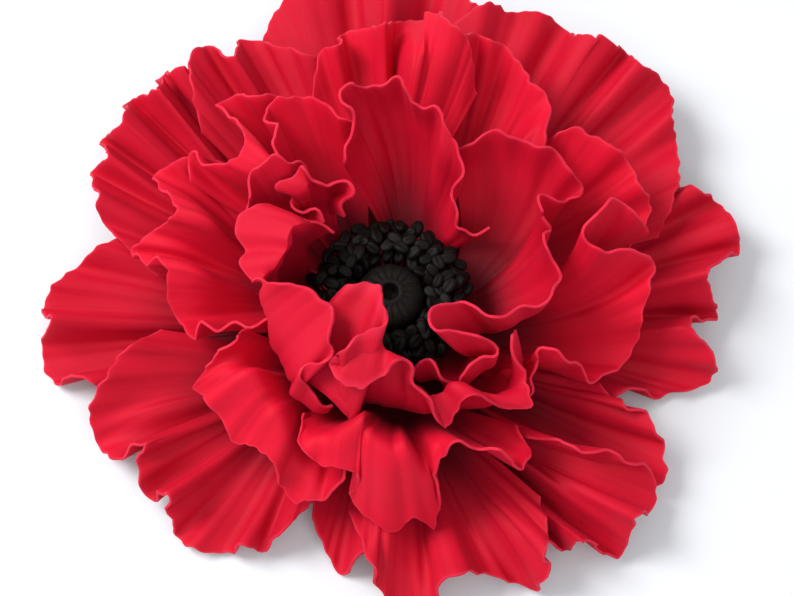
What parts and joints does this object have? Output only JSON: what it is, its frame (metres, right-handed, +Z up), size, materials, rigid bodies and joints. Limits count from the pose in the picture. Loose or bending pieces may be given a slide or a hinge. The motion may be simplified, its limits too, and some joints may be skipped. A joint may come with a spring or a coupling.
{
  "type": "poppy flower",
  "caption": "Cut double poppy lying face up: ruffled petals in overlapping whorls around a ring of stamens and a round seed pod with a hole in its top.",
  "frame": {"origin": "centre of the outline, on the surface that the flower lies on", "axes": "+Z up along the flower's axis, out of its open face; -Y towards the viewer, +X to the viewer's right"},
  "size_m": [0.1326, 0.1244, 0.0382],
  "materials": {
    "outer_petals": "satin-matte red petal with fine radial pleats",
    "middle_petals": "satin-matte red petal with fine radial pleats",
    "inner_petals": "satin-matte bright red petal, lighter at its rim",
    "seed_pod": "black-brown pod with a soft sheen",
    "stamens": "black-brown anthers on dark filaments",
    "receptacle": "dull green-brown knob, hidden under the petals"
  },
  "bodies": {
    "root": {"inner_petal_back": "inner_petals", "inner_petal_back_left_lobe": "inner_petals", "inner_petal_front": "inner_petals", "inner_petal_left": "inner_petals", "inner_petal_left_star": "inner_petals", "inner_petal_right": "inner_petals", "middle_petal_back": "middle_petals", "middle_petal_back_left": "middle_petals", "middle_petal_back_near_right": "middle_petals", "middle_petal_back_right": "middle_petals", "middle_petal_front": "middle_petals", "middle_petal_front_left": "middle_petals", "middle_petal_left": "middle_petals", "middle_petal_left_curled": "middle_petals", "middle_petal_right_curled": "middle_petals", "outer_petal_back": "outer_petals", "outer_petal_back_left": "outer_petals", "outer_petal_back_right": "outer_petals", "outer_petal_front": "outer_petals", "outer_petal_front_left": "outer_petals", "outer_petal_front_right": "outer_petals", "outer_petal_front_right_low": "outer_petals", "outer_petal_front_small": "outer_petals", "outer_petal_left": "outer_petals", "outer_petal_left_pleated": "outer_petals", "outer_petal_right": "outer_petals", "receptacle": "receptacle", "seed_pod": "seed_pod", "stamens_inner": "stamens", "stamens_middle": "stamens", "stamens_outer": "stamens"}
  },
  "joints": []
}
